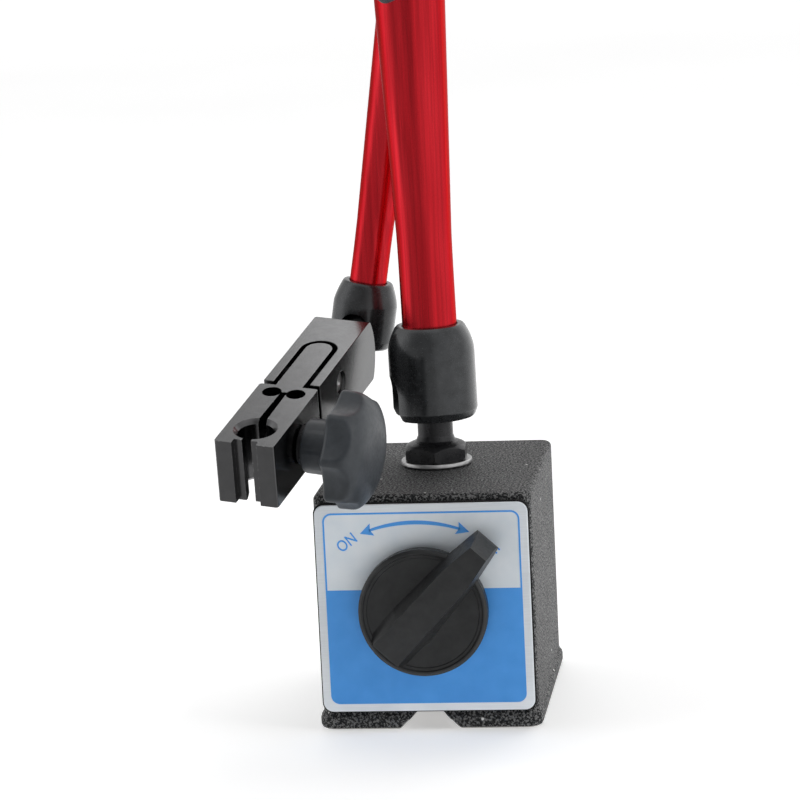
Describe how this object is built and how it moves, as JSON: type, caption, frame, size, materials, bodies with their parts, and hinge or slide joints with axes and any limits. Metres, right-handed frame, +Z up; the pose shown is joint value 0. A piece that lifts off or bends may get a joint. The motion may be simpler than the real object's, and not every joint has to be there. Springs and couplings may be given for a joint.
{
  "type": "folding indicator holder on switchable magnetic base",
  "caption": "Square switchable magnet block with a rotary lever switch, carrying two folding red tubular arms on ball joints with a central lock, and a slotted stem clamp with a star knob.",
  "frame": {"origin": "bottom centre of the whole stand's bounding box, on the surface it stands on", "axes": "+Z up; -Y is the nameplate and switch side; +X is to the right when facing the switch"},
  "size_m": [0.0688, 0.0862, 0.198],
  "materials": {
    "textured_paint": "textured hammered dark grey",
    "ground_steel": "ground bare steel",
    "bright_steel": "bright turned steel",
    "black_steel": "black oxide, satin",
    "red_anodised": "glossy red anodised",
    "black_anodised": "satin black anodised",
    "socket_black": "satin black-grey anodised",
    "brass": "turned brass",
    "core_alloy": "turned",
    "ferrite": "sintered ferrite, matte",
    "label_foil": "printed silver and blue foil",
    "foam_black": "matte gasket",
    "black_plastic": "moulded, fine grain",
    "slate_plastic": "moulded, matte dark slate"
  },
  "bodies": {
    "base": {"left_pole": "textured_paint", "right_pole": "textured_paint", "upper_divider": "brass", "lower_divider": "brass", "tie_pin_1": "brass", "tie_pin_2": "brass", "tie_pin_3": "brass", "tie_pin_4": "brass", "front_bearing": "brass", "rear_plug": "core_alloy", "stop_pin": "bright_steel", "nameplate_pad": "foam_black", "nameplate": "label_foil", "stud_washer": "bright_steel", "base_stud": "black_steel"},
    "rotor": {"rotor_spindle": "bright_steel", "rotor_magnet": "ferrite", "rotor_upper_core": "ground_steel", "rotor_lower_core": "ground_steel", "switch_knob": "black_plastic"},
    "ball_seat": {"lower_ball": "black_steel"},
    "lower_arm": {"lower_socket": "socket_black", "lower_tube": "red_anodised", "lower_hub": "black_anodised", "lower_thrust_cup": "brass", "lower_push_rod": "bright_steel", "elbow_bolt": "black_steel", "lower_wedge": "bright_steel", "upper_wedge": "bright_steel", "friction_washer": "brass", "lock_washer": "bright_steel", "rear_washer": "bright_steel"},
    "elbow_knob": {"lock_knob": "slate_plastic"},
    "upper_arm": {"upper_hub": "black_anodised", "upper_tube": "red_anodised", "tip_socket": "socket_black", "upper_thrust_cup": "brass", "upper_push_rod": "bright_steel"},
    "tip_swivel": {"tip_ball": "black_steel"},
    "fork": {"clamp_fork": "black_anodised", "tip_stud": "black_steel", "cross_pin": "bright_steel", "adjust_spring": "bright_steel"},
    "head": {"clamp_head": "black_anodised"},
    "fine_screw": {"adjust_screw": "bright_steel"},
    "star_knob": {"clamp_knob": "slate_plastic", "clamp_screw": "black_steel"}
  },
  "joints": [
    {"name": "switch_turn", "type": "hinge", "parent": "base", "child": "rotor", "pos_m": [0.00856, 0.01208, 0.0286], "axis": [0, -1, 0], "range_deg": [0, 88]},
    {"name": "lower_swivel", "type": "hinge", "parent": "base", "child": "ball_seat", "pos_m": [0.00856, 0.01588, 0.0725], "axis": [0, 0, 1], "continuous": true},
    {"name": "lower_tilt", "type": "hinge", "parent": "ball_seat", "child": "lower_arm", "pos_m": [0.00856, 0.01588, 0.0725], "axis": [0.2756, -0.9613, 0.0042], "range_deg": [-10, 9]},
    {"name": "elbow_fold", "type": "hinge", "parent": "lower_arm", "child": "upper_arm", "pos_m": [0.00691, 0.01588, 0.18139], "axis": [0, 1, 0], "range_deg": [-2, 300]},
    {"name": "elbow_lock_turn", "type": "hinge", "parent": "lower_arm", "child": "elbow_knob", "pos_m": [0.00691, 0.01588, 0.18139], "axis": [0, -1, 0], "range_deg": [-90, 360]},
    {"name": "tip_tilt", "type": "hinge", "parent": "upper_arm", "child": "tip_swivel", "pos_m": [-0.00971, 0.03188, 0.08587], "axis": [0.9671, -0.1907, -0.1683], "range_deg": [-17, 3]},
    {"name": "clamp_twist", "type": "hinge", "parent": "tip_swivel", "child": "fork", "pos_m": [-0.00971, 0.03188, 0.08587], "axis": [-0.2314, -0.9343, -0.2713], "range_deg": [-5, 235]},
    {"name": "fine_tilt", "type": "hinge", "parent": "fork", "child": "head", "pos_m": [-0.01737, 0.0002, 0.07875], "axis": [0.9725, -0.215, -0.0891], "range_deg": [-3.4, 3.4]},
    {"name": "fine_screw_turn", "type": "hinge", "parent": "fork", "child": "fine_screw", "pos_m": [-0.01968, -0.00451, 0.06489], "axis": [0.0249, -0.2845, 0.9583], "range_deg": [-270, 270]},
    {"name": "clamp_screw_turn", "type": "hinge", "parent": "head", "child": "star_knob", "pos_m": [-0.00813, -0.02798, 0.06806], "axis": [0.9725, -0.215, -0.0891], "range_deg": [-90, 720]}
  ],
  "couplings": [
    {"joint": "fine_screw_turn", "follows": "fine_tilt", "ratio": 78.1}
  ]
}
